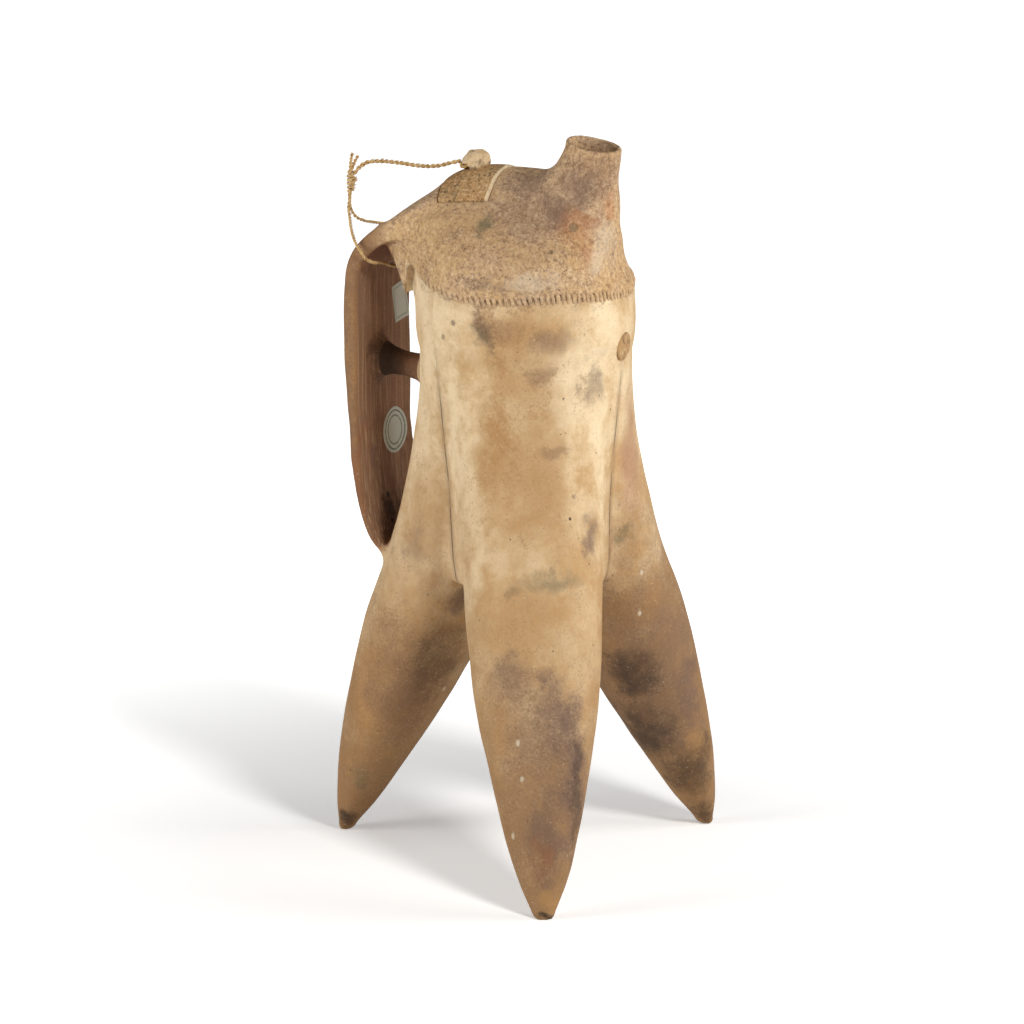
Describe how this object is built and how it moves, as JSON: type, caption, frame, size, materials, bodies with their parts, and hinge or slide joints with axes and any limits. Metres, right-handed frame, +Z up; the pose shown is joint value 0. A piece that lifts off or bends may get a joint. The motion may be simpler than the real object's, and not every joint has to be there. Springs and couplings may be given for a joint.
{
  "type": "tripod ewer",
  "caption": "Hand-built earthenware ewer on three hollow pointed legs, with a domed top, tubular spout, broad strap handle on a strut and a small lid tied on by a cord.",
  "frame": {"origin": "under the middle of the clay, on the plane that the three feet stand on", "axes": "+Z up, +X from the handle to the spout, the plane Y = 0 through the handle, the rear leg and the spout"},
  "size_m": [0.166, 0.1852, 0.3564],
  "materials": {
    "cream_clay": "matte unglazed, cream slip with ochre mottling and fire clouds",
    "brown_clay": "matte unglazed, speckled brown",
    "ochre_clay": "matte unglazed, ochre",
    "strap_clay": "matte unglazed, ochre to red-brown with dark pits",
    "dark_clay": "matte unglazed, dark brown",
    "lid_clay": "matte unglazed, granular grey-green to tan",
    "fibre": "dry twisted plant fibre",
    "paper": "aged paper, bare but for plain lines"
  },
  "bodies": {
    "vessel": {"rear_leg": "cream_clay", "left_leg": "cream_clay", "right_leg": "cream_clay", "luting_band": "brown_clay", "upper_dome": "brown_clay", "spout": "brown_clay", "handle_strap": "strap_clay", "handle_strut": "dark_clay", "front_pellet": "ochre_clay", "round_label": "paper", "square_label": "paper", "cord_handle_loop": "fibre"},
    "lid": {"lid_panel": "lid_clay", "lid_knob": "ochre_clay", "cord_knob_loop": "fibre", "cord_tether": "fibre", "cord_knot": "fibre", "cord_tail_long": "fibre", "cord_tail_short": "fibre"}
  },
  "joints": [
    {"name": "lid_lift", "type": "slide", "parent": "vessel", "child": "lid", "axis": [-0.309, 0, 0.9511], "range_m": [0, 0.04]}
  ]
}
